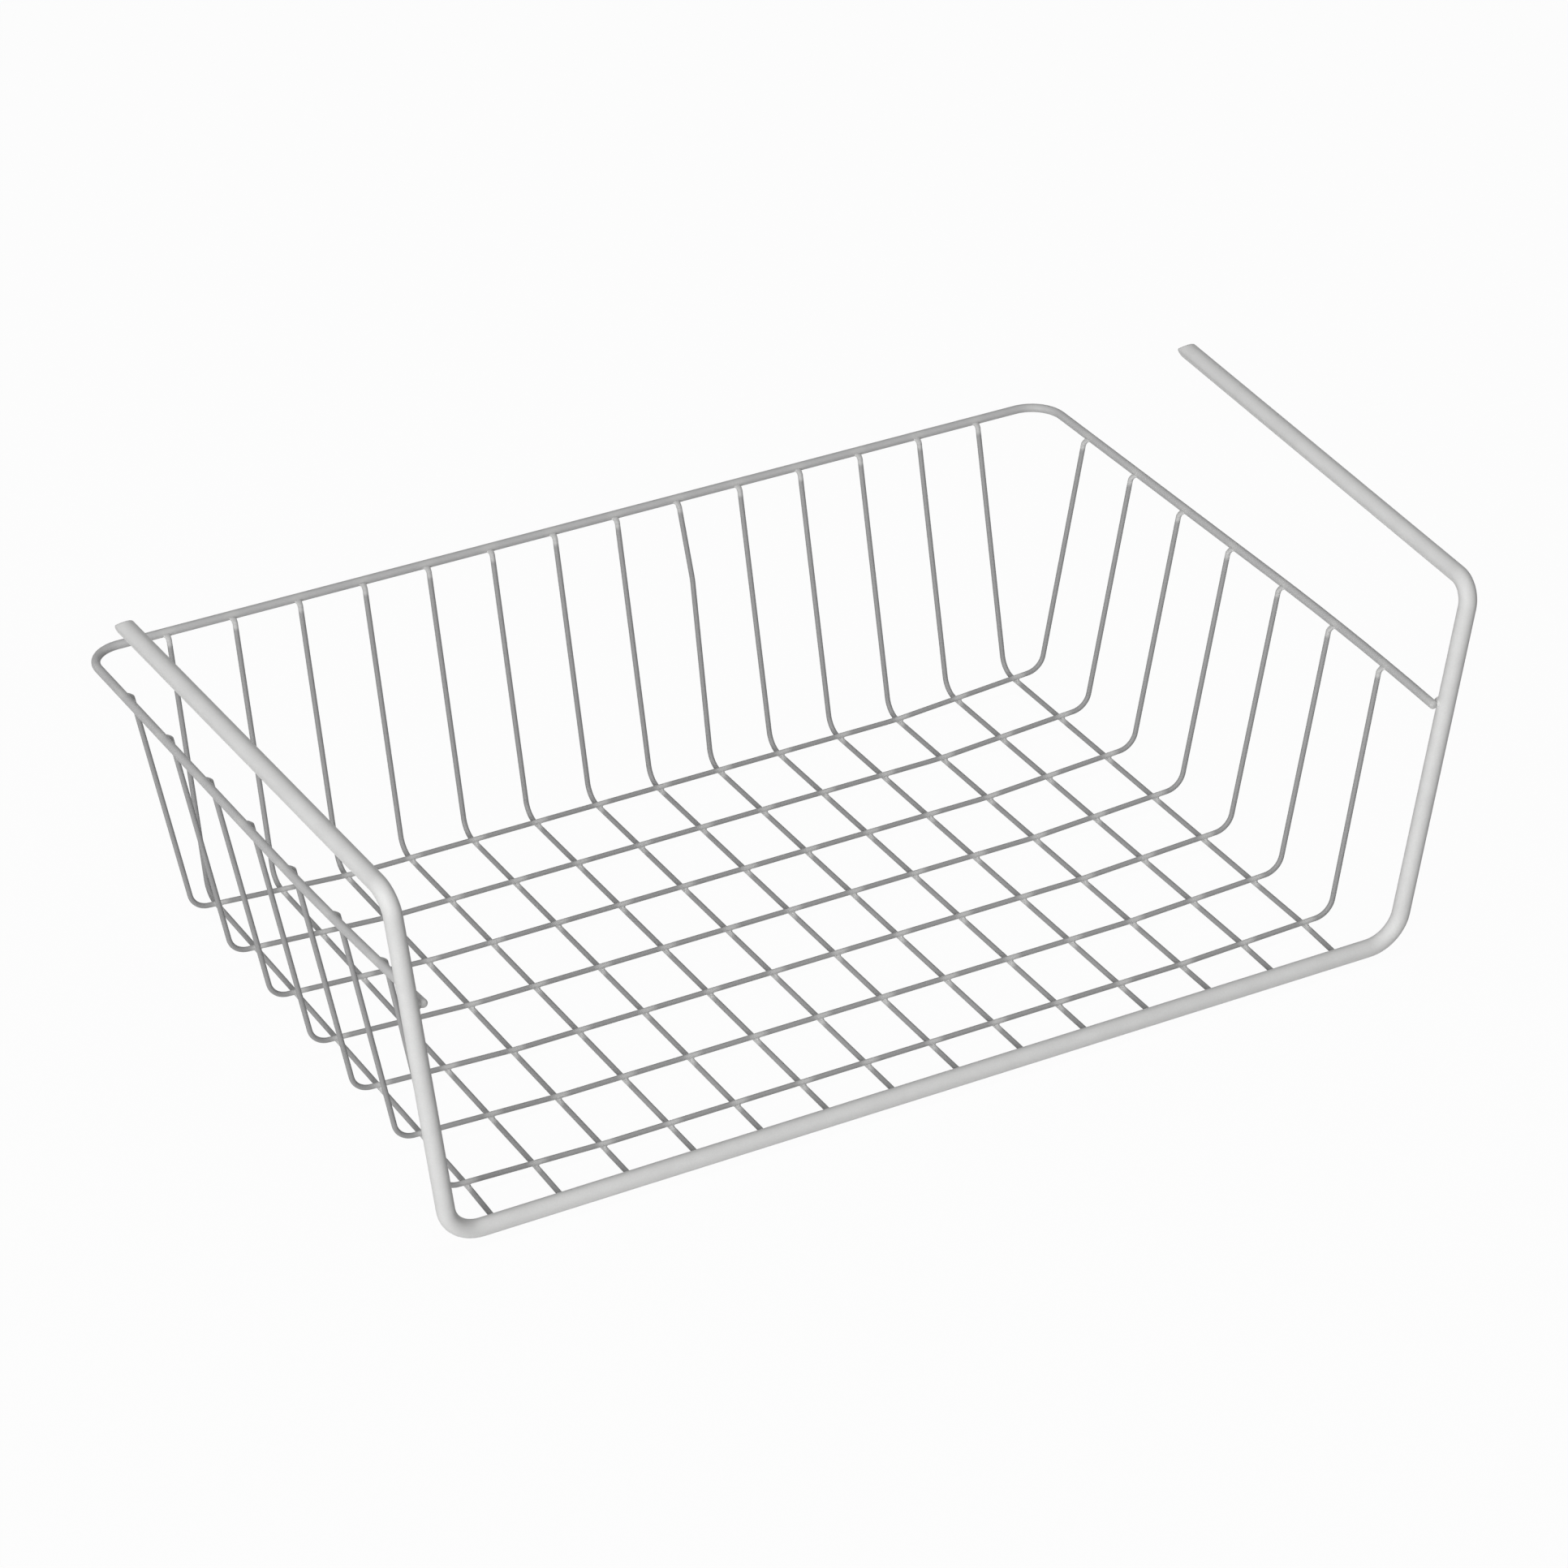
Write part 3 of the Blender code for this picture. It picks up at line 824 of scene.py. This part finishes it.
def make_light():
    world = bpy.data.worlds.new("studio")
    bpy.context.scene.world = world
    world.use_nodes = True
    tree = world.node_tree
    tree.nodes.clear()
    dim = add_node(tree, "ShaderNodeBackground", {"Color": WHITE, "Strength": ROOM_LIGHT})
    white = add_node(tree, "ShaderNodeBackground", {"Color": WHITE, "Strength": 1.0})
    mixed = add_node(tree, "ShaderNodeMixShader", None,
                     {0: background_rays(tree), 1: dim.outputs[0], 2: white.outputs[0]})
    add_node(tree, "ShaderNodeOutputWorld", None, {"Surface": mixed.outputs[0]})
    for name, azimuth, height, distance, watts in LAMPS:
        add_softbox(name, seen_from(azimuth, height), distance, watts)


def seen_from(azimuth, height):
    """The direction of a place round the basket, from its front and above the floor."""
    return Vector((math.sin(azimuth) * math.cos(height), -math.cos(azimuth) * math.cos(height),
                   math.sin(height)))


def add_softbox(name, toward, distance, watts):
    """A square soft light that looks at the basket from a direction."""
    lamp = bpy.data.lights.new(name, "AREA")
    lamp.size = LAMP_SIZE
    lamp.energy = watts
    holder = bpy.data.objects.new(name, lamp)
    holder.location = LAMP_AIM + toward * distance
    holder.rotation_euler = toward.to_track_quat("Z", "Y").to_euler()
    bpy.context.scene.collection.objects.link(holder)


def make_camera():
    back = seen_from(VIEW_AZIMUTH, VIEW_HEIGHT)
    camera = bpy.data.objects.new("camera", bpy.data.cameras.new("camera"))
    camera.data.sensor_width = SENSOR_WIDTH
    camera.data.lens = FOCAL_PIXELS / PICTURE_SIDE * SENSOR_WIDTH
    camera.location = VIEW_TARGET + STAND + back * VIEW_DISTANCE
    turn = back.to_track_quat("Z", "Y") @ Quaternion((0.0, 0.0, 1.0), -VIEW_ROLL)
    camera.rotation_euler = turn.to_euler()
    bpy.context.scene.collection.objects.link(camera)
    bpy.context.scene.camera = camera


def main():
    bpy.context.scene.view_settings.view_transform = "Standard"
    frame_coat = powder_coat("powder_coat_frame", FRAME_TONE)
    # The rim's and grid's coats are darker in tone as painted shade, with painted light round the
    # welds.
    rim_coat = powder_coat("powder_coat_rim", RIM_PAINTED_SHADE_TONE, RIM_PAINTED_LIGHT_TONE, rim_painted_light)
    grid_coat = powder_coat("powder_coat_grid", GRID_PAINTED_SHADE_TONE, GRID_PAINTED_LIGHT_TONE, grid_painted_light)
    make_frame_wire(frame_coat)
    make_rim_wire(rim_coat)
    make_cross_wires(grid_coat)
    make_long_wires(grid_coat)
    make_floor_beads(grid_coat)
    make_bar_beads(frame_coat)
    make_rim_nubs(rim_coat)
    make_upright_nubs(frame_coat)
    make_stage()
    make_light()
    make_camera()


main()
